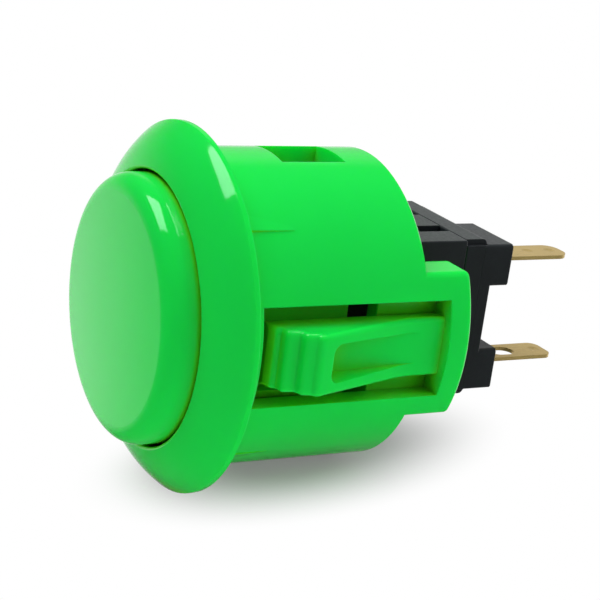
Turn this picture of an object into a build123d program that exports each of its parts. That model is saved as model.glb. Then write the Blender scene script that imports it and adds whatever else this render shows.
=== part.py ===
from build123d import *
from math import cos, sin, sqrt
import os

os.makedirs("parts", exist_ok=True)

# A snap-in push button. Its axis is Y: the player is at -Y, the terminals at +Y, and +Z is up.
# The origin is on the axis, in the plane where the flange's back face meets the panel.
# All sizes are in mm.

# Driving dimensions
panel_hole_d = 24.0
flange_d = 27.5
flange_h = 2.8
plunger_d = 19.9
plunger_rise = 4.9
travel = 1.8
barrel_back = 14.65
lug_back = 18.35
switch_w = 11.2
switch_h = 12.7
switch_seam = 21.2
tab_w = 2.8
tab_t = 0.3
tab_len = 7.1
tab_x = 2.45
tab_z = 4.25

# Clearances
panel_fit = 0.13
plunger_gap = 0.20
stop_gap = 0.05
bottom_gap = 0.10
actuator_gap = 0.10
rail_gap = 0.17
loose = 0.20
snug = 0.05
contact_gap = 0.03

# How far joined forms reach into each other, and cuts past the surface
sink = 0.3
over = 1.0

# Flange and barrel
barrel_r = panel_hole_d / 2 - panel_fit
flange_r = flange_d / 2
plunger_r = plunger_d / 2
bore_r = plunger_r + plunger_gap
rim_h = 0.4
mouth_round = 0.25
seam_turn = 62
dome_sagitta = 0.3
barrel_chamfer = 0.2

# Latches, lugs and their windows
window_half = 3.7
window_front = 1.2
window_back = 16.5
window_sink = 0.75
window_floor_x = bore_r - window_sink
lug_half = 5.55
lug_round = 0.6
lug_end_round = 0.4
latch_half = 2.27
latch_tip = 2.1
latch_lip = 0.5
tongue_t = 0.73
tongue_x = bore_r + tongue_t
latch_steps = (
    ((0.50, 2.35), (0.62, 2.66)),
    ((1.38, 2.82), (1.50, 3.76)),
    ((2.14, 3.94), (2.30, 4.70)),
    ((2.62, 4.95), (2.58, 5.30)),
)
crest_rise = latch_steps[-1][0][0]
latch_slope_end = 13.6
step_round = 0.40
valley_round = 0.15
slope_round = 6.0
latch_edge = 0.36
pocket_front = 6.1
pocket_front_half = 1.5
pocket_back_half = 1.15
pocket_run_out = 1.2
pocket_round = 0.75

# Tapering crush ribs behind the flange, each with a step on its lower side
crush_angle = 44.4
crush_w = 2.6
crush_h = 0.20
crush_end_h = 0.03
crush_len = 4.4

# Plunger
crown = 0.45
crown_flat_r = 0.4
edge_round = 1.5
skirt_end = 9.6
skirt_wall = 1.3
cap_t = 1.5
skirt_in_r = plunger_r - skirt_wall
cap_in = -plunger_rise + cap_t
flat_room = 1.7
flat_x = bore_r - flat_room
flat_margin = 0.9
flat_half = latch_half + flat_margin

# Slots at the top and bottom of the barrel, and the plunger's hooks in them
slot_half = 2.36
slot_front = 6.1
slot_back = 11.4
hook_half = 1.9
hook_front = slot_front + stop_gap
hook_rise = 0.95
hook_flat = 0.75
slit_w = 0.6
slit_front = 3.0

# Floor between the plunger's space and the switch
floor_front = skirt_end + travel + bottom_gap
floor_t = 1.6
floor_back = floor_front + floor_t
floor_slot_x = 8.05
floor_slot_half = 3.2

# Switch halves
switch_x = switch_w / 2
switch_z = switch_h / 2
switch_wall = 1.0
switch_edge = 0.15
seam_break = 0.08
case_front_t = 1.2
case_in_front = floor_back + case_front_t
cavity_x = switch_x - switch_wall
cavity_z = switch_z - switch_wall
rail_t = 1.5
rail_x = switch_x + rail_t
rail_half = 3.6
rail_len = 3.9
rail_back = floor_back + rail_len
lug_inner_x = rail_x + rail_gap
catch_reach = 1.07
catch_half = 3.0
catch_front = rail_back + bottom_gap
plate_t = 2.0
plate_back = switch_seam + plate_t
step_t = 0.65
switch_back = plate_back + step_t
boss_len = 1.65
boss_back = switch_back + boss_len
plinth_t = 0.8
plinth_front = switch_seam - plinth_t
plinth_x = cavity_x - bottom_gap
plinth_z = cavity_z - bottom_gap
snap_slot_x = (1.5, 3.0)
snap_slot_len = 3.0
snap_slot_front = switch_seam - snap_slot_len
snap_hook_rise = 0.4
rebate_x = 0.38
rebate_z = 0.45
step_inset = 0.4
step_z = switch_z - step_inset
far_round = 0.4
boss_far_x = -0.5
boss_inner_z = 2.6
boss_round = 0.3
post_r = 0.9
post_len = 1.8
post_front = plinth_front - post_len

# Actuator and its spring
actuator_tip = 8.6
actuator_r = 1.85
actuator_tip_round = 0.4
sleeve_r = 2.3
sleeve_bore_r = 1.65
sleeve_len = 3.5
sleeve_cap_t = 0.8
sleeve_front = case_in_front + loose
sleeve_back = sleeve_front + sleeve_len
sleeve_seat = sleeve_front + sleeve_cap_t
arm_room = 0.4
arm_x = (1.9, cavity_x - arm_room)
arm_half = 1.0
stem_end = actuator_tip - stop_gap
stem_r = 2.4
stem_bore_r = 1.3
stem_bore_front = 0.5
stem_rib_t = 1.0
stem_rib_end = 2.5
spring_wire = 0.25
spring_r = 1.3
spring_turns = 6

# Terminals and contacts
strip_margin = (0.15, 0.35)
strip_x = (arm_x[0] + strip_margin[0], arm_x[1] - strip_margin[1])
strip_room = 0.1
open_strip_front = case_in_front + strip_room
tab_tip = boss_back + tab_len
bar_front = plinth_front - tab_t
anchor_len = 1.1
anchor_front = plinth_front - anchor_len
leaf_t = 0.2
leaf_tip = case_in_front + loose
leaf_z = 2.5
leaf_pivot = (anchor_front, leaf_z + leaf_t / 2)
follower_setback = 2.3
follower_y = case_in_front + follower_setback
follower_r = 0.7
cam_slope = 0.25
cam_lag = 0.985
contact_setback = 0.9
contact_y = case_in_front + contact_setback
contact_x = (strip_x[0] + strip_x[1]) / 2
contact_dome_r = 1.0
contact_h = 0.3
fixed_dome_r = 1.5
shank_r = 0.35
bend_round = 0.2
common_corner = 0.8
open_corner = 1.1
solder_slot = (2.3, 1.7)
solder_slot_setback = 4.25
common_dimple = 1.0
open_dimples = (3.3, 1.15)
dimple_r = 0.5
dimple_depth = 0.07

# The cam's face where the leaf's follower rests on it, and the leaf's turn at full travel
cam_z = leaf_z - (follower_r + contact_gap) * sqrt(1 + cam_slope**2)
leaf_turn = cam_slope * travel / (leaf_pivot[0] - follower_y) * cam_lag
# The top of the moving contact's dome at full travel sets the fixed contact's height
dome_back = leaf_pivot[1] - (leaf_z + leaf_t + contact_h - contact_dome_r)
dome_reach = leaf_pivot[0] - contact_y
closed_z = leaf_pivot[1] - dome_back * cos(leaf_turn) + dome_reach * sin(leaf_turn) + contact_dome_r
closed_y = leaf_pivot[0] - dome_reach * cos(leaf_turn) - dome_back * sin(leaf_turn)
fixed_face_z = closed_z + contact_gap


def box(x, y, z):
    size = Box(x[1] - x[0], y[1] - y[0], z[1] - z[0])
    return Pos((x[0] + x[1]) / 2, (y[0] + y[1]) / 2, (z[0] + z[1]) / 2) * size


def rod(r, y):
    return Pos(0, (y[0] + y[1]) / 2, 0) * Rot(90, 0, seam_turn) * Cylinder(r, y[1] - y[0])


def plate_z(points, z):
    face = make_face(Polyline(*points, close=True))
    return extrude(Plane.XY.offset(z[0]) * face, z[1] - z[0])


def plate_x(points, x):
    face = make_face(Polyline(*points, close=True))
    return extrude(Plane.YZ.offset(x[0]) * face, x[1] - x[0])


def turned(face):
    # the seam of a turned solid lies clear of the windows at the sides and the slots at top and bottom
    return Rot(0, seam_turn, 0) * revolve(face, Axis.Y)


def both_sides(shape):
    return shape + Rot(0, 180, 0) * shape


def span(side, near, far):
    return sorted((side * near, side * far))


def bezel_and_barrel():
    mouth = (bore_r + mouth_round, -flange_h)
    rim = (flange_r, -rim_h)
    across = Vector(rim[0] - mouth[0], rim[1] - mouth[1])
    out = Vector(across.Y, -across.X).normalized() * dome_sagitta
    dome_mid = ((mouth[0] + rim[0]) / 2 + out.X, (mouth[1] + rim[1]) / 2 + out.Y)
    outline = [
        TangentArc((bore_r, -flange_h + mouth_round), mouth, tangent=(0, -1)),
        ThreePointArc(mouth, dome_mid, rim),
        Polyline(
            rim,
            (flange_r, 0),
            (barrel_r, 0),
            (barrel_r, barrel_back - barrel_chamfer),
            (barrel_r - barrel_chamfer, barrel_back),
            (bore_r, barrel_back),
            (bore_r, floor_back),
            (0, floor_back),
            (0, floor_front),
            (bore_r, floor_front),
            (bore_r, -flange_h + mouth_round),
        ),
    ]
    return turned(make_face(outline))


def lug():
    width = barrel_r + over - lug_inner_x
    section = Circle(barrel_r) & Pos(lug_inner_x + width / 2, 0) * Rectangle(width, 2 * lug_half)
    section = fillet(section.vertices(), lug_round)
    block = extrude(Plane.XZ.offset(-lug_back) * section, lug_back - floor_front)
    block = fillet(block.faces().sort_by(Axis.Y)[-1].edges(), lug_end_round)
    root_x = lug_inner_x + sink
    catch = plate_z(
        [(root_x, catch_front), (lug_inner_x - catch_reach, catch_front), (root_x, lug_back - lug_end_round)],
        (-catch_half, catch_half),
    )
    return block + catch


def latch():
    root = window_back + sink
    inner_x = bore_r - over
    treads = [[(tongue_x + rise, y) for rise, y in step] for step in latch_steps]
    valleys = [tread[1] for tread in treads[:-1]]
    crests = [tread[0] for tread in treads] + [treads[-1][1]]
    points = [(inner_x, latch_tip), (bore_r + latch_lip, latch_tip)]
    for tread in treads:
        points += tread
    points += [(tongue_x, latch_slope_end), (tongue_x, root), (inner_x, root)]
    face = make_face(Polyline(*points, close=True))
    rounds = [(valley, valley_round) for valley in valleys] + [(crest, step_round) for crest in crests]
    for corner, radius in rounds + [((tongue_x, latch_slope_end), slope_round)]:
        face = fillet(face.vertices().sort_by_distance(corner)[0], radius)
    arm = extrude(Plane.XY.offset(-latch_half) * face, 2 * latch_half)
    sides = arm.faces().filter_by(Axis.Z).edges()
    outer = sides.filter_by(lambda e: e.center().X > bore_r + sink and e.center().Y < root - sink)
    arm = fillet(outer, latch_edge)
    ends = ((pocket_front, pocket_front_half), (latch_slope_end + pocket_run_out, pocket_back_half))
    outline = [(y, h) for y, h in ends] + [(y, -h) for y, h in reversed(ends)]
    pocket = plate_x(outline, (tongue_x, tongue_x + crest_rise + over))
    pocket = fillet(pocket.edges().filter_by(Axis.X).group_by(Axis.Y)[0], pocket_round)
    return arm - pocket - rod(bore_r, (0, lug_back + over))


def crush_rib_section(y, height):
    points = [(barrel_r - sink, 0), (barrel_r + height, 0), (barrel_r - sink, crush_w)]
    return Plane.XZ.offset(-y) * make_face(Polyline(*points, close=True))


def crush_ribs():
    rib = loft([crush_rib_section(0, crush_h), crush_rib_section(crush_len, crush_end_h)])
    rib = Rot(0, -crush_angle, 0) * rib
    rib += mirror(rib, Plane.YZ)
    return rib + mirror(rib, Plane.XY)


def housing():
    window = box((window_floor_x, flange_r), (window_front, window_back), (-window_half, window_half))
    slot = box((-slot_half, slot_half), (slot_front, slot_back), (bore_r - over, flange_r))
    floor_slot = box(
        (-floor_slot_x, floor_slot_x),
        (floor_front - over, floor_back),
        (-floor_slot_half, floor_slot_half),
    )
    body = bezel_and_barrel() + both_sides(lug())
    body -= both_sides(window)
    body -= both_sides(slot)
    body -= floor_slot
    body += both_sides(latch())
    return body + crush_ribs()


def plunger_cup():
    # a small flat in the middle of the crown keeps the turned face from closing in a point
    top = -plunger_rise - crown
    shoulder = (plunger_r, -plunger_rise)
    outline = [
        Line((0, top), (crown_flat_r, top)),
        TangentArc((crown_flat_r, top), shoulder, tangent=(1, 0)),
        Polyline(
            shoulder,
            (plunger_r, skirt_end),
            (skirt_in_r, skirt_end),
            (skirt_in_r, cap_in),
            (0, cap_in),
            (0, top),
        ),
    ]
    face = make_face(outline)
    face = fillet(face.vertices().sort_by_distance(shoulder)[0], edge_round)
    return turned(face)


def plunger():
    body = plunger_cup()
    rib_reach = skirt_in_r + sink
    for angle in range(0, 180, 45):
        rib = box((-rib_reach, rib_reach), (cap_in - sink, stem_rib_end), (-stem_rib_t / 2, stem_rib_t / 2))
        body += Rot(0, angle, 0) * rib
    body += rod(stem_r, (cap_in - sink, stem_end))
    body -= rod(stem_bore_r, (stem_bore_front, stem_end))
    # flats in the skirt give the latches room to be pressed in
    inner_x = flat_x - skirt_wall
    wall_half = flat_half + skirt_wall
    body += both_sides(box((inner_x, flat_x), (window_front, skirt_end), (-wall_half, wall_half)))
    wall_y = (window_front - skirt_wall, window_front)
    body += both_sides(box((inner_x, skirt_in_r + sink), wall_y, (-flat_half, flat_half)))
    body -= both_sides(box((flat_x, barrel_r), (window_front, skirt_end), (-flat_half, flat_half)))
    root_z = skirt_in_r + sink
    hook = plate_x(
        [
            (hook_front, root_z),
            (hook_front, plunger_r + hook_rise),
            (hook_front + hook_flat, plunger_r + hook_rise),
            (skirt_end, plunger_r - sink),
            (skirt_end, root_z),
        ],
        (-hook_half, hook_half),
    )
    body += both_sides(hook)
    for side in (-1, 1):
        slit_x = span(side, hook_half, hook_half + slit_w)
        body -= both_sides(box(slit_x, (slit_front, skirt_end), (skirt_in_r - over, barrel_r)))
    return body


def switch_case():
    shell = box((-switch_x, switch_x), (floor_back, switch_seam), (-switch_z, switch_z))
    shell = fillet(shell.edges().filter_by(Axis.Y), switch_edge)
    shell = chamfer(shell.faces().sort_by(Axis.Y)[-1].edges(), seam_break)
    rail = box((switch_x - sink, rail_x), (floor_back, rail_back), (-rail_half, rail_half))
    shell += both_sides(rail)
    shell -= box((-cavity_x, cavity_x), (case_in_front, switch_seam), (-cavity_z, cavity_z))
    shell -= rod(actuator_r + actuator_gap, (floor_back, case_in_front))
    for side in (-1, 1):
        snap_slot = box(
            span(side, *snap_slot_x),
            (snap_slot_front, switch_seam),
            (cavity_z - sink, switch_z + over),
        )
        shell -= both_sides(snap_slot)
    return shell


def terminal_slots():
    half = tab_t / 2 + snug
    cuts = Part()
    for side in (-1, 1):
        cuts += box(
            (tab_x - tab_w / 2 - snug, tab_x + tab_w / 2 + snug),
            (plinth_front, boss_back),
            (side * tab_z - half, side * tab_z + half),
        )
    return cuts


def switch_base():
    plate = box((-switch_x, switch_x), (switch_seam, plate_back), (-switch_z, switch_z))
    plate = fillet(plate.edges().filter_by(Axis.Y), switch_edge)
    plate = chamfer(plate.faces().sort_by(Axis.Y)[0].edges(), seam_break)
    far_back = plate.edges().filter_by(Axis.Z).sort_by_distance((-switch_x, plate_back, 0))[0]
    body = fillet(far_back, far_round)
    step = box((-switch_x, switch_x), (plate_back - sink, switch_back), (-step_z, step_z))
    body += fillet(step.edges().filter_by(Axis.Y), boss_round)
    body += box((-plinth_x, plinth_x), (plinth_front, switch_seam + sink), (-plinth_z, plinth_z))
    body += rod(post_r, (post_front, plinth_front + sink))
    for side in (-1, 1):
        boss = box((boss_far_x, switch_x), (plate_back - sink, boss_back), span(side, boss_inner_z, step_z))
        body += fillet(boss.edges().filter_by(Axis.Y), boss_round)
        rebate = box(
            (switch_x - rebate_x, switch_x + over),
            (switch_seam, plate_back),
            span(side, switch_z - rebate_z, switch_z + over),
        )
        body -= rebate
        snap_hook = box(
            span(side, snap_slot_x[0] + loose, snap_slot_x[1] - loose),
            (snap_slot_front + loose, switch_seam + sink),
            (plinth_z - sink, cavity_z + snap_hook_rise),
        )
        body += both_sides(snap_hook)
    return body - terminal_slots()


def tab_blade(front, corner):
    x = (tab_x - tab_w / 2, tab_x + tab_w / 2)
    face = make_face(Polyline((x[0], front), (x[1], front), (x[1], tab_tip), (x[0], tab_tip), close=True))
    face = fillet(face.vertices().group_by(Axis.Y)[-1], corner)
    return extrude(Plane.XY.offset(-tab_t / 2) * face, tab_t)


def dimple(setback):
    ball_r = (dimple_r**2 + dimple_depth**2) / (2 * dimple_depth)
    return Pos(tab_x, tab_tip - setback, tab_t / 2 + ball_r - dimple_depth) * Sphere(ball_r)


def common_terminal():
    slot = Pos(tab_x, tab_tip - solder_slot_setback, -tab_t) * Rot(0, 0, 90) * SlotOverall(*solder_slot)
    hole = extrude(slot, 2 * tab_t)
    blade = tab_blade(bar_front, common_corner) - hole - dimple(common_dimple)
    bar = box(strip_x, (bar_front, plinth_front), (-tab_z - tab_t / 2, leaf_pivot[1] + tab_t / 2))
    anchor_z = (leaf_pivot[1] - tab_t / 2, leaf_pivot[1] + tab_t / 2)
    anchor = box(strip_x, (anchor_front, plinth_front), anchor_z)
    strip = Pos(0, 0, -tab_z) * blade + bar + anchor
    bends = strip.edges().filter_by(Axis.X)
    outer = bends.sort_by_distance((contact_x, plinth_front, anchor_z[1]))[0]
    return fillet(outer, bend_round)


def open_terminal():
    blade = tab_blade(open_strip_front, open_corner)
    for setback in open_dimples:
        blade -= dimple(setback)
    shank = Pos(contact_x, closed_y, 0) * Cylinder(shank_r, 2 * tab_t)
    return Pos(0, 0, tab_z) * (blade - shank)


def dome(r, height):
    ball = Pos(0, 0, height - r) * Sphere(r)
    return ball & Pos(0, 0, r) * Box(4 * r, 4 * r, 2 * r)


def fixed_contact():
    face = tab_z - tab_t / 2
    head = Rot(180, 0, 0) * dome(fixed_dome_r, face - fixed_face_z)
    rivet = Pos(contact_x, closed_y, face) * head
    return rivet + Pos(contact_x, closed_y, tab_z) * Cylinder(shank_r, tab_t)


def contact_leaf():
    strip = box(strip_x, (leaf_tip, anchor_front - snug), (leaf_z, leaf_z + leaf_t))
    bump = Pos(contact_x, follower_y, leaf_z) * Rot(0, 90, 0) * Cylinder(follower_r, strip_x[1] - strip_x[0])
    half = box(strip_x, (leaf_tip, anchor_front), (leaf_z - 2 * follower_r, leaf_z + leaf_t / 2))
    return strip + (bump & half) - Pos(contact_x, contact_y, leaf_z) * Cylinder(shank_r, 4 * leaf_t)


def moving_contact():
    head = Pos(contact_x, contact_y, leaf_z + leaf_t) * dome(contact_dome_r, contact_h)
    return head + Pos(contact_x, contact_y, leaf_z + leaf_t / 2) * Cylinder(shank_r, leaf_t)


def actuator():
    stub = rod(actuator_r, (actuator_tip, sleeve_front + sink))
    stub = fillet(stub.edges().sort_by(Axis.Y)[0], actuator_tip_round)
    body = stub + rod(sleeve_r, (sleeve_front, sleeve_back))
    cam_front = cam_z + cam_slope * (follower_y - sleeve_front)
    cam_back = cam_z + cam_slope * (follower_y - sleeve_back)
    body += plate_x(
        [
            (sleeve_front, -arm_half),
            (sleeve_back, -arm_half),
            (sleeve_back, cam_back),
            (sleeve_front, cam_front),
        ],
        arm_x,
    )
    body += box((-arm_x[1], -arm_x[0]), (sleeve_front, sleeve_back), (-arm_half, arm_half))
    return body - rod(sleeve_bore_r, (sleeve_seat, sleeve_back))


def return_spring():
    start = sleeve_seat + spring_wire / 2 + snug
    end = plinth_front - spring_wire / 2 - snug
    path = Helix(
        pitch=(end - start) / spring_turns,
        height=end - start,
        radius=spring_r,
        center=(0, start, 0),
        direction=(0, 1, 0),
    )
    section = Plane(origin=path @ 0, z_dir=path % 0) * Circle(spring_wire / 2)
    return sweep(section, path=path, is_frenet=True)


pieces = {
    "housing": housing,
    "plunger": plunger,
    "switch_case": switch_case,
    "switch_base": switch_base,
    "common_terminal": common_terminal,
    "open_terminal": open_terminal,
    "actuator": actuator,
    "return_spring": return_spring,
    "contact_leaf": contact_leaf,
    "moving_contact": moving_contact,
    "fixed_contact": fixed_contact,
}

for name, make in pieces.items():
    export_step(make(), f"parts/{name}.step")
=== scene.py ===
from math import atan2, cos, pi, radians, sin, tau

import bmesh
import bpy
from bpy.props import FloatProperty, FloatVectorProperty, IntProperty, PointerProperty
from mathutils import Matrix, Vector


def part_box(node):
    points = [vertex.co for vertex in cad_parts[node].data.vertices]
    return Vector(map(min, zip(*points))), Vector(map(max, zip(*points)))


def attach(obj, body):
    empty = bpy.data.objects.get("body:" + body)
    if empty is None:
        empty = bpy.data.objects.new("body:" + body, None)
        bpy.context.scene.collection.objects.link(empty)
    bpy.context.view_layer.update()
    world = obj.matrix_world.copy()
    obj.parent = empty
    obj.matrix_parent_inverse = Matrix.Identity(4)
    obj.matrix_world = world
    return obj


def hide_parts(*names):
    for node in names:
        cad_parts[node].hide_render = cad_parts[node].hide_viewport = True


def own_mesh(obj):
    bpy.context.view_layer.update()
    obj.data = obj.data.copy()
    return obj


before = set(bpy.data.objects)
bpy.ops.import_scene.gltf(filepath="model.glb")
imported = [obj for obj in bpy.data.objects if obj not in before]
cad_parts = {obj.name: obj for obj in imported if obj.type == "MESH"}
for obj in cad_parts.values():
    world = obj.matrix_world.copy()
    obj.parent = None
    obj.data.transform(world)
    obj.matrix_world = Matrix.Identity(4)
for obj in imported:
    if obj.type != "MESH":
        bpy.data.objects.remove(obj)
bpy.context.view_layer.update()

bl_info = {
    "name": "Snap-in push button",
    "version": (1, 0, 0),
    "blender": (4, 5, 0),
    "location": "View3D > Sidebar > Push button",
    "description": "Dresses a packed snap-in push button and sets a studio stage for it",
    "category": "Object",
}

MM = 0.001
FLANGE_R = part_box("housing")[1].x
# the back edge of the CAD's barrel, and its radius
BARREL_BACK = 14.65 * MM
BARREL_R = 11.87 * MM
WHITE = (1, 1, 1, 1)

# the part of a noise texture's range in which most of its values lie
NOISE_LOW = 0.3
NOISE_HIGH = 0.7

# green plastic: spread of its tint, reach of the occlusion that paints shade into its gaps, how open they are
# where the painted olive shade and the darker painted shade set in, roughness, and depth of its waves
GREEN_TINT = (0.97, 1.03)
GREEN_SHADE_REACH = 2.6 * MM
GREEN_OLIVE_SHADE_OPEN = (0.3, 0.8)
GREEN_PIT_SHADE_OPEN = (0.1, 0.42)
PIT_SHADE = 0.35
GREEN_ROUGH = (0.06, 0.1)
GREEN_WAVE = 0.006 * MM

# black plastic: spread of its tint, reach of the occlusion that paints shade into its seams and recesses by
# taking its sheen out there, how open it is where its grey sheen is full, roughness, and depth of its grain
BLACK_TINT = (0.5, 1.5)
BLACK_SHADE_REACH = 0.5 * MM
BLACK_OPEN = (0.6, 0.95)
BLACK_BLOOM = 0.42
BLACK_ROUGH = (0.36, 0.5)
BLACK_GRAIN = 0.01 * MM

# metal strip: spread of its tint, reach of the occlusion that paints shade into its dimples and hollows, how
# open it is where that painted shade ends,
# roughness, soft edges, and depth of its rolling lines
STRIP_TINT = (0.9, 1.06)
STRIP_HOLLOW = 1.0 * MM
STRIP_OPEN = (0.9, 1.0)
HOLLOW_SHADE = 0.5
STRIP_ROUGH = (0.26, 0.36)
STRIP_EDGE = 0.06 * MM
STRIP_LINES = 0.003 * MM

# white plastic and bright metal: spread of their tints, and the plastic's roughness
WHITE_TINT = (0.94, 1.04)
BRIGHT_TINT = (0.88, 1.06)
WHITE_ROUGH = (0.3, 0.42)

# roundness of the spring's turns and of its wire
STEPS_PER_TURN = 28
WIRE_SIDES = 12

# camera
SENSOR_WIDTH = 36
CLIP_START = 5 * MM

# lamps: distance, direction as azimuth and elevation, width and height, and the way the width runs
LAMP_DISTANCE = 0.5
SOFTBOX_WAY = (radians(-34.5), radians(61.8))
SOFTBOX_SIZE = (0.3, 0.27)
SOFTBOX_SIDE = Vector((0.824, -0.567, 0))
STRIP_WAY = (radians(-165), radians(68))
STRIP_SIZE = (0.28, 0.03)
STRIP_SIDE = Vector((1, 0, 0))

# floor: its half width, the shadow's middle and half-widths, and, counted in those half-widths,
# where the paper under the shadow starts to fade and where it is gone
FLOOR_HALF = 60 * MM
SHADOW_CENTRE = (1 * MM, 11.6 * MM, 0)
SHADOW_REACH = (7 * MM, 11.6 * MM)
SHADOW_FADE = (0.43, 1.62)
# the paper's grey for the eye, and for the light that it throws back
PAPER_SEEN = (0.6, 0.6, 0.6, 1)
PAPER_BOUNCE = (0.95, 0.95, 0.95, 1)

# the light from all round grows a little towards the back and the top, and the floor's glow comes in below
AMBIENT_LEAN = (-0.16, 0.44, 0.6)
GLOW_START = 0.0
GLOW_FULL = -0.4
# the white sweep that shiny surfaces see: how far round to the far side it starts and is full,
# and the heights over which its top and its foot fade
SWEEP_ROUND = (0.1, 0.7)
SWEEP_TOP = (-0.35, 0.4)
SWEEP_FOOT = (-0.65, -0.38)
# the white card's soft edge and its full middle, as angles from its centre
CARD_EDGE = radians(24)
CARD_FULL = radians(8)


def linear(code):
    """The linear RGB of an sRGB hex colour."""
    channels = [int(code[i:i + 2], 16) / 255 for i in (1, 3, 5)]
    return [c / 12.92 if c <= 0.04045 else ((c + 0.055) / 1.055) ** 2.4 for c in channels]


def shade(colour, factor):
    """A colour made darker or lighter, with alpha."""
    return [min(c * factor, 1) for c in colour] + [1]


def add_node(tree, kind, inputs=None, **settings):
    """A node with its own settings, and its inputs as values or as the sockets that feed them."""
    node = tree.nodes.new(kind)
    for name, value in settings.items():
        setattr(node, name, value)
    for name, value in (inputs or {}).items():
        if isinstance(value, bpy.types.NodeSocket):
            tree.links.new(value, node.inputs[name])
        else:
            node.inputs[name].default_value = value
    return node


def per_mm(size):
    """The scale of a texture on Object coordinates whose features are about this many mm across."""
    return 1 / (size * MM)


def new_material(name):
    """An empty node material and its output node."""
    material = bpy.data.materials.new(name)
    material.use_nodes = True
    material.node_tree.nodes.clear()
    return material, add_node(material.node_tree, "ShaderNodeOutputMaterial")


def dress(material, *node_names):
    """Gives CAD nodes this one material."""
    for name in node_names:
        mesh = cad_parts[name].data
        mesh.materials.clear()
        mesh.materials.append(material)


class PushButtonFinish(bpy.types.PropertyGroup):
    """Colours of the button's own materials."""

    green: FloatVectorProperty(
        name="Green plastic",
        description="Colour of the moulded housing and plunger",
        subtype="COLOR",
        default=linear("#12D84A"),
    )
    # painted shade: the olive that the green plastic's gaps are painted with, standing in for light bounced
    # about in them
    olive: FloatVectorProperty(
        name="Green in crevices",
        description="Deeper colour that light takes on after bouncing about in the green plastic's gaps",
        subtype="COLOR",
        default=linear("#5DE014"),
    )
    black: FloatVectorProperty(
        name="Black plastic",
        description="Colour of the switch's two moulded halves",
        subtype="COLOR",
        default=linear("#151C21"),
    )
    brass: FloatVectorProperty(
        name="Brass",
        description="Colour of the rolled strip that the tabs are stamped from",
        subtype="COLOR",
        default=linear("#E2C57C"),
    )
    white: FloatVectorProperty(
        name="White plastic",
        description="Colour of the switch's slider",
        subtype="COLOR",
        default=linear("#E9E8E2"),
    )
    bronze: FloatVectorProperty(
        name="Bronze",
        description="Colour of the contact leaf",
        subtype="COLOR",
        default=linear("#D2A679"),
    )
    steel: FloatVectorProperty(
        name="Steel",
        description="Colour of the return spring",
        subtype="COLOR",
        default=linear("#B4B5B7"),
    )
    silver: FloatVectorProperty(
        name="Silver",
        description="Colour of the two contact rivets",
        subtype="COLOR",
        default=linear("#E6E4DE"),
    )
    edge_round: FloatProperty(
        name="Edge softness",
        description="Radius that light sees on the moulded edges",
        default=0.12 * MM,
        min=0,
        unit="LENGTH",
    )


class PushButtonSpring(bpy.types.PropertyGroup):
    """The return spring's wire and turns."""

    wire: FloatProperty(
        name="Wire",
        description="Thickness of the spring's round wire",
        default=0.25 * MM,
        min=0.05 * MM,
        unit="LENGTH",
    )
    turns: IntProperty(
        name="Turns",
        description="Turns of wire from one end of the spring to the other",
        default=6,
        min=2,
    )


class PushButtonStage(bpy.types.PropertyGroup):
    """Camera, lamps and floor."""

    azimuth: FloatProperty(
        name="Azimuth",
        description="Way round the button that the camera stands, from its front towards +X",
        default=radians(59.936),
        subtype="ANGLE",
    )
    elevation: FloatProperty(
        name="Elevation",
        description="Height of the camera above the button's axis",
        default=radians(17.468),
        subtype="ANGLE",
    )
    roll: FloatProperty(
        name="Roll",
        description="Turn of the picture, because the button lies tilted on its flange",
        default=radians(7.549),
        subtype="ANGLE",
    )
    distance: FloatProperty(
        name="Distance",
        description="Distance of the camera from the flange's centre",
        default=124.17 * MM,
        unit="LENGTH",
    )
    aside: FloatProperty(
        name="Aside",
        description="How far the camera moves to its own right",
        default=9.182 * MM,
        unit="LENGTH",
    )
    above: FloatProperty(
        name="Above",
        description="How far the camera moves up in its own picture",
        default=0.463 * MM,
        unit="LENGTH",
    )
    lens: FloatProperty(
        name="Lens",
        description="Focal length on a 36 mm sensor",
        default=100.93,
        unit="CAMERA",
    )
    softbox: FloatProperty(
        name="Softbox brightness",
        description="Radiance of the overhead softbox, where 1 is white",
        default=5.7,
        min=0,
    )
    strip: FloatProperty(
        name="Strip brightness",
        description="Radiance of the narrow strip light behind, where 1 is white",
        default=6.0,
        min=0,
    )
    ambient: FloatProperty(
        name="Ambient",
        description="Mean radiance of the light that comes from all round",
        default=0.55,
        min=0,
    )
    glow: FloatProperty(
        name="Floor glow",
        description="What the brightly lit paper adds to the light that comes from below",
        default=0.4,
        min=0,
    )
    card: FloatProperty(
        name="Card brightness",
        description="Radiance of the white card behind, which flat tops mirror to the camera",
        default=0.32,
        min=0,
        max=1,
    )
    room: FloatProperty(
        name="Room reflection",
        description="Radiance that shiny surfaces see on the camera's side of the studio",
        default=0.12,
        min=0,
    )
    shadow: FloatProperty(
        name="Shadow",
        description="How much of the floor under the button is paper, the rest being white background",
        default=0.82,
        min=0,
        max=1,
        subtype="FACTOR",
    )


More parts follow.
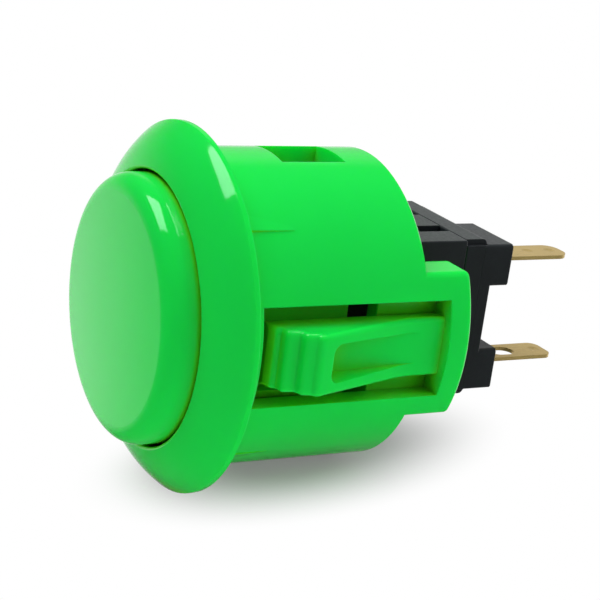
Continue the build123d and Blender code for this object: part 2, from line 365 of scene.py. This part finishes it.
def moulded_green_abs():
    """Glossy ABS from a polished mould: deep even green, crisp lamp highlights, painted olive shade in its
    gaps and darker painted shade in the deepest.
    """
    finish = bpy.context.scene.push_button_finish
    material, output = new_material("moulded_green_abs")
    tree = material.node_tree
    place = add_node(tree, "ShaderNodeTexCoord").outputs["Object"]
    flow = add_node(tree, "ShaderNodeTexNoise", {"Vector": place, "Scale": per_mm(5), "Detail": 2.0})
    tint = add_node(
        tree,
        "ShaderNodeMix",
        {
            "Factor": flow.outputs["Fac"],
            "A": shade(finish.green, GREEN_TINT[0]),
            "B": shade(finish.green, GREEN_TINT[1]),
        },
        data_type="RGBA",
    )
    # painted shade: occlusion mixes olive into the gaps, and a darker olive into the deepest of them
    gap_occlusion = add_node(tree, "ShaderNodeAmbientOcclusion", {"Distance": GREEN_SHADE_REACH}, samples=8)
    deep = add_node(
        tree,
        "ShaderNodeMapRange",
        {"Value": gap_occlusion.outputs["AO"], "From Min": GREEN_OLIVE_SHADE_OPEN[0], "From Max": GREEN_OLIVE_SHADE_OPEN[1]},
        interpolation_type="SMOOTHSTEP",
    )
    colour = add_node(
        tree,
        "ShaderNodeMix",
        {"Factor": deep.outputs["Result"], "A": shade(finish.olive, 1), "B": tint.outputs["Result"]},
        data_type="RGBA",
    )
    pit = add_node(
        tree,
        "ShaderNodeMapRange",
        {"Value": gap_occlusion.outputs["AO"], "From Min": GREEN_PIT_SHADE_OPEN[0], "From Max": GREEN_PIT_SHADE_OPEN[1]},
        interpolation_type="SMOOTHSTEP",
    )
    pit_shaded = add_node(
        tree,
        "ShaderNodeMix",
        {"Factor": pit.outputs["Result"], "A": shade(finish.olive, PIT_SHADE), "B": colour.outputs["Result"]},
        data_type="RGBA",
    )
    haze = add_node(tree, "ShaderNodeTexNoise", {"Vector": place, "Scale": per_mm(1.5), "Detail": 3.0})
    rough = add_node(
        tree,
        "ShaderNodeMapRange",
        {
            "Value": haze.outputs["Fac"],
            "From Min": NOISE_LOW,
            "From Max": NOISE_HIGH,
            "To Min": GREEN_ROUGH[0],
            "To Max": GREEN_ROUGH[1],
        },
    )
    soft = add_node(tree, "ShaderNodeBevel", {"Radius": finish.edge_round}, samples=6)
    sink = add_node(tree, "ShaderNodeTexNoise", {"Vector": place, "Scale": per_mm(3), "Detail": 1.0})
    wave = add_node(
        tree,
        "ShaderNodeBump",
        {
            "Height": sink.outputs["Fac"],
            "Strength": 0.1,
            "Distance": GREEN_WAVE,
            "Normal": soft.outputs["Normal"],
        },
    )
    shader = add_node(
        tree,
        "ShaderNodeBsdfPrincipled",
        {
            "Base Color": pit_shaded.outputs["Result"],
            "Roughness": rough.outputs["Result"],
            "IOR": 1.52,
            "Specular Tint": (0.72, 1.0, 0.95, 1.0),
            "Subsurface Weight": 0.6,
            "Subsurface Radius": (0.2, 1.0, 0.25),
            "Subsurface Scale": 1.0 * MM,
            "Normal": wave.outputs["Normal"],
        },
    )
    tree.links.new(shader.outputs["BSDF"], output.inputs["Surface"])
    return material


def moulded_black_pbt():
    """Glass-filled PBT from a spark-eroded mould: matt, grey where the light grazes its fine grain, with
    painted shade taking that grey out of its seams and recesses.
    """
    finish = bpy.context.scene.push_button_finish
    material, output = new_material("moulded_black_pbt")
    tree = material.node_tree
    place = add_node(tree, "ShaderNodeTexCoord").outputs["Object"]
    grain = add_node(tree, "ShaderNodeTexNoise", {"Vector": place, "Scale": per_mm(0.25), "Detail": 3.0})
    cloud = add_node(tree, "ShaderNodeTexNoise", {"Vector": place, "Scale": per_mm(2.5), "Detail": 2.0})
    tint = add_node(
        tree,
        "ShaderNodeMix",
        {
            "Factor": cloud.outputs["Fac"],
            "A": shade(finish.black, BLACK_TINT[0]),
            "B": shade(finish.black, BLACK_TINT[1]),
        },
        data_type="RGBA",
    )
    rough = add_node(
        tree,
        "ShaderNodeMapRange",
        {
            "Value": grain.outputs["Fac"],
            "From Min": NOISE_LOW,
            "From Max": NOISE_HIGH,
            "To Min": BLACK_ROUGH[0],
            "To Max": BLACK_ROUGH[1],
        },
    )
    # painted shade: occlusion takes the sheen out of seams and recesses
    seam_occlusion = add_node(tree, "ShaderNodeAmbientOcclusion", {"Distance": BLACK_SHADE_REACH}, samples=8)
    shaded_sheen = add_node(
        tree,
        "ShaderNodeMapRange",
        {
            "Value": seam_occlusion.outputs["AO"],
            "From Min": BLACK_OPEN[0],
            "From Max": BLACK_OPEN[1],
            "To Max": BLACK_BLOOM,
        },
    )
    soft = add_node(tree, "ShaderNodeBevel", {"Radius": finish.edge_round}, samples=6)
    bump = add_node(
        tree,
        "ShaderNodeBump",
        {
            "Height": grain.outputs["Fac"],
            "Strength": 0.5,
            "Distance": BLACK_GRAIN,
            "Normal": soft.outputs["Normal"],
        },
    )
    shader = add_node(
        tree,
        "ShaderNodeBsdfPrincipled",
        {
            "Base Color": tint.outputs["Result"],
            "Roughness": rough.outputs["Result"],
            "IOR": 1.55,
            "Sheen Weight": shaded_sheen.outputs["Result"],
            "Sheen Roughness": 0.3,
            "Normal": bump.outputs["Normal"],
        },
    )
    tree.links.new(shader.outputs["BSDF"], output.inputs["Surface"])
    return material


def rolled_strip(name, metal):
    """Stamped metal strip: fine rolling lines along it, a satin shine, and painted shade darkening its
    dimples and hollows.
    """
    material, output = new_material(name)
    tree = material.node_tree
    place = add_node(tree, "ShaderNodeTexCoord").outputs["Object"]
    along = add_node(
        tree,
        "ShaderNodeMapping",
        {"Vector": place, "Scale": (per_mm(0.12), per_mm(4), per_mm(0.12))},
    )
    lines = add_node(
        tree,
        "ShaderNodeTexNoise",
        {"Vector": along.outputs["Vector"], "Scale": 1.0, "Detail": 3.0},
    )
    cloud = add_node(tree, "ShaderNodeTexNoise", {"Vector": place, "Scale": per_mm(1.5), "Detail": 2.0})
    tint = add_node(
        tree,
        "ShaderNodeMix",
        {
            "Factor": cloud.outputs["Fac"],
            "A": shade(metal, STRIP_TINT[0]),
            "B": shade(metal, STRIP_TINT[1]),
        },
        data_type="RGBA",
    )
    # painted shade: occlusion darkens the dimples and the roots where the strip meets other parts
    hollow = add_node(tree, "ShaderNodeAmbientOcclusion", {"Distance": STRIP_HOLLOW}, samples=16)
    unshaded = add_node(
        tree,
        "ShaderNodeMapRange",
        {"Value": hollow.outputs["AO"], "From Min": STRIP_OPEN[0], "From Max": STRIP_OPEN[1]},
    )
    hollow_shaded = add_node(
        tree,
        "ShaderNodeMix",
        {"Factor": unshaded.outputs["Result"], "A": shade(metal, HOLLOW_SHADE), "B": tint.outputs["Result"]},
        data_type="RGBA",
    )
    rough = add_node(
        tree,
        "ShaderNodeMapRange",
        {
            "Value": lines.outputs["Fac"],
            "From Min": NOISE_LOW,
            "From Max": NOISE_HIGH,
            "To Min": STRIP_ROUGH[0],
            "To Max": STRIP_ROUGH[1],
        },
    )
    soft = add_node(tree, "ShaderNodeBevel", {"Radius": STRIP_EDGE}, samples=6)
    bump = add_node(
        tree,
        "ShaderNodeBump",
        {
            "Height": lines.outputs["Fac"],
            "Strength": 0.2,
            "Distance": STRIP_LINES,
            "Normal": soft.outputs["Normal"],
        },
    )
    shader = add_node(
        tree,
        "ShaderNodeBsdfPrincipled",
        {
            "Base Color": hollow_shaded.outputs["Result"],
            "Metallic": 0.65,
            "Roughness": rough.outputs["Result"],
            "Normal": bump.outputs["Normal"],
        },
    )
    tree.links.new(shader.outputs["BSDF"], output.inputs["Surface"])
    return material


def moulded_white_acetal():
    """Acetal from a plain mould: waxy white, a soft sheen, light that soaks in a little."""
    finish = bpy.context.scene.push_button_finish
    material, output = new_material("moulded_white_acetal")
    tree = material.node_tree
    place = add_node(tree, "ShaderNodeTexCoord").outputs["Object"]
    flow = add_node(tree, "ShaderNodeTexNoise", {"Vector": place, "Scale": per_mm(2), "Detail": 2.0})
    tint = add_node(
        tree,
        "ShaderNodeMix",
        {
            "Factor": flow.outputs["Fac"],
            "A": shade(finish.white, WHITE_TINT[0]),
            "B": shade(finish.white, WHITE_TINT[1]),
        },
        data_type="RGBA",
    )
    rough = add_node(
        tree,
        "ShaderNodeMapRange",
        {
            "Value": flow.outputs["Fac"],
            "From Min": NOISE_LOW,
            "From Max": NOISE_HIGH,
            "To Min": WHITE_ROUGH[0],
            "To Max": WHITE_ROUGH[1],
        },
    )
    shader = add_node(
        tree,
        "ShaderNodeBsdfPrincipled",
        {
            "Base Color": tint.outputs["Result"],
            "Roughness": rough.outputs["Result"],
            "IOR": 1.48,
            "Subsurface Weight": 0.3,
            "Subsurface Radius": (1.0, 1.0, 0.9),
            "Subsurface Scale": 0.4 * MM,
        },
    )
    tree.links.new(shader.outputs["BSDF"], output.inputs["Surface"])
    return material


def bright_metal(name, metal, mark, rough_low, rough_high):
    """Drawn or headed metal: a bright shine, broken by the tool's marks of this many mm."""
    material, output = new_material(name)
    tree = material.node_tree
    place = add_node(tree, "ShaderNodeTexCoord").outputs["Object"]
    marks = add_node(tree, "ShaderNodeTexNoise", {"Vector": place, "Scale": per_mm(mark), "Detail": 3.0})
    tint = add_node(
        tree,
        "ShaderNodeMix",
        {
            "Factor": marks.outputs["Fac"],
            "A": shade(metal, BRIGHT_TINT[0]),
            "B": shade(metal, BRIGHT_TINT[1]),
        },
        data_type="RGBA",
    )
    rough = add_node(
        tree,
        "ShaderNodeMapRange",
        {
            "Value": marks.outputs["Fac"],
            "From Min": NOISE_LOW,
            "From Max": NOISE_HIGH,
            "To Min": rough_low,
            "To Max": rough_high,
        },
    )
    shader = add_node(
        tree,
        "ShaderNodeBsdfPrincipled",
        {"Base Color": tint.outputs["Result"], "Metallic": 1.0, "Roughness": rough.outputs["Result"]},
    )
    tree.links.new(shader.outputs["BSDF"], output.inputs["Surface"])
    return material


class PUSHBUTTON_OT_mouldings(bpy.types.Operator):
    """Finish the green housing and plunger"""

    bl_idname = "push_button.mouldings"
    bl_label = "Green mouldings"

    def execute(self, context):
        dress(moulded_green_abs(), "housing", "plunger")
        return {"FINISHED"}


class PUSHBUTTON_OT_switch(bpy.types.Operator):
    """Finish the switch's black halves"""

    bl_idname = "push_button.switch"
    bl_label = "Switch halves"

    def execute(self, context):
        dress(moulded_black_pbt(), "switch_case", "switch_base")
        return {"FINISHED"}


class PUSHBUTTON_OT_terminals(bpy.types.Operator):
    """Finish the two brass terminals"""

    bl_idname = "push_button.terminals"
    bl_label = "Terminals"

    def execute(self, context):
        brass = context.scene.push_button_finish.brass
        dress(rolled_strip("rolled_brass", brass), "common_terminal", "open_terminal")
        return {"FINISHED"}


class PUSHBUTTON_OT_return_spring(bpy.types.Operator):
    """Wind the return spring, which shortens as the plunger goes in"""
    # Wind the return spring out of round wire, in place of the CAD spring

    bl_idname = "push_button.return_spring"
    bl_label = "Return spring"

    def execute(self, context):
        finish = context.scene.push_button_finish
        spring = context.scene.push_button_spring
        low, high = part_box("return_spring")
        half = spring.wire / 2
        radius = high.x - half
        length = high.y - low.y - spring.wire
        steps = spring.turns * STEPS_PER_TURN
        shape = bmesh.new()
        end = Matrix.Translation((radius, low.y + half, 0))
        bmesh.ops.create_circle(shape, cap_ends=True, radius=half, segments=WIRE_SIDES, matrix=end)
        bmesh.ops.spin(
            shape,
            geom=shape.verts[:] + shape.edges[:] + shape.faces[:],
            cent=(0, 0, 0),
            axis=(0, 1, 0),
            dvec=(0, length / steps, 0),
            angle=tau * spring.turns,
            steps=steps,
        )
        bmesh.ops.recalc_face_normals(shape, faces=shape.faces[:])
        mesh = bpy.data.meshes.new("return_coil")
        shape.to_mesh(mesh)
        shape.free()
        mesh.shade_smooth()
        steel = bright_metal("drawn_steel", finish.steel, mark=0.1, rough_low=0.2, rough_high=0.34)
        mesh.materials.append(steel)
        coil = bpy.data.objects.new("return_coil", mesh)
        context.scene.collection.objects.link(coil)
        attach(coil, "fixed")
        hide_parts("return_spring")
        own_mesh(coil)
        return {"FINISHED"}


class PUSHBUTTON_OT_mechanism(bpy.types.Operator):
    """Finish the slider, leaf and contacts inside the switch"""

    bl_idname = "push_button.mechanism"
    bl_label = "Switch mechanism"

    def execute(self, context):
        finish = context.scene.push_button_finish
        dress(moulded_white_acetal(), "actuator")
        dress(rolled_strip("rolled_bronze", finish.bronze), "contact_leaf")
        silver = bright_metal("headed_silver", finish.silver, mark=0.3, rough_low=0.12, rough_high=0.24)
        dress(silver, "moving_contact", "fixed_contact")
        return {"FINISHED"}


def camera_axes(stage):
    """The camera's right, up and back directions."""
    back = toward(stage.azimuth, stage.elevation)
    level = Vector((0, 0, 1)).cross(back).normalized()
    upright = back.cross(level)
    right = level * cos(stage.roll) + upright * sin(stage.roll)
    up = upright * cos(stage.roll) - level * sin(stage.roll)
    return right, up, back


def toward(azimuth, elevation):
    """A direction from the button: azimuth runs from its front towards +X."""
    return Vector((sin(azimuth) * cos(elevation), -cos(azimuth) * cos(elevation), sin(elevation)))


def aim(obj, right, up, back, place):
    """Puts a camera or lamp at a place, looking against its back direction."""
    turn = Matrix((right, up, back)).transposed().to_4x4()
    obj.matrix_world = Matrix.Translation(place) @ turn


def hang_lamp(name, way, size, along, radiance):
    """A rectangular area lamp that faces the button, with its width along the direction that is given."""
    width, height = size
    lamp = bpy.data.lights.new(name, "AREA")
    lamp.shape = "RECTANGLE"
    lamp.size = width
    lamp.size_y = height
    lamp.energy = radiance * pi * width * height
    obj = bpy.data.objects.new(name, lamp)
    bpy.context.scene.collection.objects.link(obj)
    side = (along - along.dot(way) * way).normalized()
    aim(obj, side, way.cross(side), way, way * LAMP_DISTANCE)


def paper_floor(share):
    """White paper that thins out into the white background and keeps the button's shadow."""
    material, output = new_material("white_paper_floor")
    tree = material.node_tree
    place = add_node(tree, "ShaderNodeTexCoord").outputs["Object"]
    scale = (1 / SHADOW_REACH[0], 1 / SHADOW_REACH[1], 0)
    shift = [-c * s for c, s in zip(SHADOW_CENTRE, scale)]
    local = add_node(tree, "ShaderNodeMapping", {"Vector": place, "Location": shift, "Scale": scale})
    reach = add_node(tree, "ShaderNodeVectorMath", {0: local.outputs["Vector"]}, operation="LENGTH")
    body = add_node(
        tree,
        "ShaderNodeMapRange",
        {
            "Value": reach.outputs["Value"],
            "From Min": SHADOW_FADE[0],
            "From Max": SHADOW_FADE[1],
            "To Min": share,
            "To Max": 0.0,
        },
        interpolation_type="SMOOTHSTEP",
    )
    ray = add_node(tree, "ShaderNodeLightPath")
    looked_at = add_node(
        tree,
        "ShaderNodeMath",
        {0: ray.outputs["Is Camera Ray"], 1: ray.outputs["Is Glossy Ray"]},
        operation="MAXIMUM",
    )
    seen = add_node(
        tree,
        "ShaderNodeMix",
        {"Factor": looked_at.outputs[0], "A": 1.0, "B": body.outputs["Result"]},
    )
    grey = add_node(
        tree,
        "ShaderNodeMix",
        {"Factor": looked_at.outputs[0], "A": PAPER_BOUNCE, "B": PAPER_SEEN},
        data_type="RGBA",
    )
    paper = add_node(tree, "ShaderNodeBsdfDiffuse", {"Color": grey.outputs["Result"]})
    clear = add_node(tree, "ShaderNodeBsdfTransparent")
    white = add_node(tree, "ShaderNodeEmission", {"Color": WHITE, "Strength": 1.0})
    beyond = add_node(
        tree,
        "ShaderNodeMixShader",
        {"Fac": ray.outputs["Is Camera Ray"], 1: clear.outputs[0], 2: white.outputs[0]},
    )
    mixed = add_node(
        tree,
        "ShaderNodeMixShader",
        {"Fac": seen.outputs["Result"], 1: beyond.outputs[0], 2: paper.outputs[0]},
    )
    side = add_node(tree, "ShaderNodeNewGeometry")
    upper = add_node(
        tree,
        "ShaderNodeMixShader",
        {"Fac": side.outputs["Backfacing"], 1: mixed.outputs[0], 2: clear.outputs[0]},
    )
    tree.links.new(upper.outputs[0], output.inputs["Surface"])
    return material


def studio_world(stage, far, card):
    """White to the camera, even light on matt surfaces, and a white sweep and card behind for shiny ones."""
    world = bpy.data.worlds.new("studio")
    world.use_nodes = True
    tree = world.node_tree
    tree.nodes.clear()
    ray = add_node(tree, "ShaderNodeLightPath")
    way = add_node(tree, "ShaderNodeTexCoord").outputs["Generated"]
    facing = add_node(tree, "ShaderNodeVectorMath", {0: way, 1: far}, operation="DOT_PRODUCT")
    across = add_node(
        tree,
        "ShaderNodeMapRange",
        {"Value": facing.outputs["Value"], "From Min": SWEEP_ROUND[0], "From Max": SWEEP_ROUND[1]},
        interpolation_type="SMOOTHSTEP",
    )
    height = add_node(tree, "ShaderNodeSeparateXYZ", {"Vector": way})
    below = add_node(
        tree,
        "ShaderNodeMapRange",
        {
            "Value": height.outputs["Z"],
            "From Min": SWEEP_TOP[0],
            "From Max": SWEEP_TOP[1],
            "To Min": 1.0,
            "To Max": 0.0,
        },
        interpolation_type="SMOOTHSTEP",
    )
    above = add_node(
        tree,
        "ShaderNodeMapRange",
        {"Value": height.outputs["Z"], "From Min": SWEEP_FOOT[0], "From Max": SWEEP_FOOT[1]},
        interpolation_type="SMOOTHSTEP",
    )
    band = add_node(tree, "ShaderNodeMath", {0: above.outputs[0], 1: below.outputs[0]}, operation="MULTIPLY")
    sweep = add_node(tree, "ShaderNodeMath", {0: across.outputs[0], 1: band.outputs[0]}, operation="MULTIPLY")
    tops = add_node(tree, "ShaderNodeVectorMath", {0: way, 1: card}, operation="DOT_PRODUCT")
    board = add_node(
        tree,
        "ShaderNodeMapRange",
        {
            "Value": tops.outputs["Value"],
            "From Min": cos(CARD_EDGE),
            "From Max": cos(CARD_FULL),
            "To Max": stage.card,
        },
        interpolation_type="SMOOTHSTEP",
    )
    white = add_node(tree, "ShaderNodeMath", {0: sweep.outputs[0], 1: board.outputs[0]}, operation="MAXIMUM")
    mirrored = add_node(tree, "ShaderNodeMix", {"Factor": white.outputs[0], "A": stage.room, "B": 1.0})
    lean = add_node(tree, "ShaderNodeVectorMath", {0: way, 1: AMBIENT_LEAN}, operation="DOT_PRODUCT")
    ground = add_node(
        tree,
        "ShaderNodeMapRange",
        {
            "Value": height.outputs["Z"],
            "From Min": GLOW_START,
            "From Max": GLOW_FULL,
            "To Min": stage.ambient,
            "To Max": stage.ambient + stage.glow,
        },
        interpolation_type="SMOOTHSTEP",
    )
    ambient = add_node(
        tree,
        "ShaderNodeMath",
        {0: lean.outputs["Value"], 1: ground.outputs[0]},
        operation="ADD",
    )
    lit = add_node(
        tree,
        "ShaderNodeMix",
        {"Factor": ray.outputs["Is Glossy Ray"], "A": ambient.outputs[0], "B": mirrored.outputs["Result"]},
    )
    seen = add_node(
        tree,
        "ShaderNodeMath",
        {0: ray.outputs["Is Camera Ray"], 1: ray.outputs["Is Transmission Ray"]},
        operation="MAXIMUM",
    )
    level = add_node(tree, "ShaderNodeMix", {"Factor": seen.outputs[0], "A": lit.outputs["Result"], "B": 1.0})
    sky = add_node(tree, "ShaderNodeBackground", {"Color": WHITE, "Strength": level.outputs["Result"]})
    add_node(tree, "ShaderNodeOutputWorld", {"Surface": sky.outputs[0]})
    return world


class PUSHBUTTON_OT_stage(bpy.types.Operator):
    """Add the floor, lamps, background and camera"""

    bl_idname = "push_button.stage"
    bl_label = "Studio stage"

    def execute(self, context):
        scene = context.scene
        stage = scene.push_button_stage
        right, up, back = camera_axes(stage)

        eye = bpy.data.objects.new("camera", bpy.data.cameras.new("camera"))
        scene.collection.objects.link(eye)
        eye.data.sensor_width = SENSOR_WIDTH
        eye.data.lens = stage.lens
        eye.data.clip_start = CLIP_START
        aim(eye, right, up, back, back * stage.distance + right * stage.aside + up * stage.above)
        scene.camera = eye

        # the button lies on its flange's rim and on the barrel's back edge
        lie = Matrix.Rotation(atan2(FLANGE_R - BARREL_R, BARREL_BACK), 4, "X")
        shape = bmesh.new()
        bmesh.ops.create_grid(shape, x_segments=1, y_segments=1, size=FLOOR_HALF)
        bmesh.ops.transform(shape, matrix=Matrix.Translation((0, 0, -FLANGE_R)) @ lie, verts=shape.verts[:])
        mesh = bpy.data.meshes.new("floor")
        shape.to_mesh(mesh)
        shape.free()
        floor = bpy.data.objects.new("floor", mesh)
        scene.collection.objects.link(floor)
        mesh.materials.append(paper_floor(stage.shadow))

        hang_lamp("softbox", toward(*SOFTBOX_WAY), SOFTBOX_SIZE, SOFTBOX_SIDE, stage.softbox)
        hang_lamp("strip", toward(*STRIP_WAY), STRIP_SIZE, STRIP_SIDE, stage.strip)
        far = Vector((-back.x, -back.y, 0)).normalized()
        scene.world = studio_world(stage, far, Vector((-back.x, -back.y, back.z)))
        scene.view_settings.view_transform = "Standard"
        return {"FINISHED"}


OPERATORS = (
    PUSHBUTTON_OT_mouldings,
    PUSHBUTTON_OT_switch,
    PUSHBUTTON_OT_terminals,
    PUSHBUTTON_OT_mechanism,
    PUSHBUTTON_OT_return_spring,
    PUSHBUTTON_OT_stage,
)


class PUSHBUTTON_PT_panel(bpy.types.Panel):
    """Lists the button's pieces and the stage"""

    bl_label = "Push button"
    bl_space_type = "VIEW_3D"
    bl_region_type = "UI"
    bl_category = "Push button"

    def draw(self, context):
        for operator in OPERATORS:
            self.layout.operator(operator.bl_idname)


CLASSES = (PushButtonFinish, PushButtonSpring, PushButtonStage) + OPERATORS + (PUSHBUTTON_PT_panel,)


def register():
    for cls in CLASSES:
        bpy.utils.register_class(cls)
    bpy.types.Scene.push_button_finish = PointerProperty(type=PushButtonFinish)
    bpy.types.Scene.push_button_spring = PointerProperty(type=PushButtonSpring)
    bpy.types.Scene.push_button_stage = PointerProperty(type=PushButtonStage)


def unregister():
    del bpy.types.Scene.push_button_stage
    del bpy.types.Scene.push_button_spring
    del bpy.types.Scene.push_button_finish
    for cls in reversed(CLASSES):
        bpy.utils.unregister_class(cls)


def main():
    register()
    bpy.ops.push_button.mouldings()
    bpy.ops.push_button.switch()
    bpy.ops.push_button.terminals()
    bpy.ops.push_button.mechanism()
    bpy.ops.push_button.return_spring()
    bpy.ops.push_button.stage()


if __name__ == "__main__":
    main()
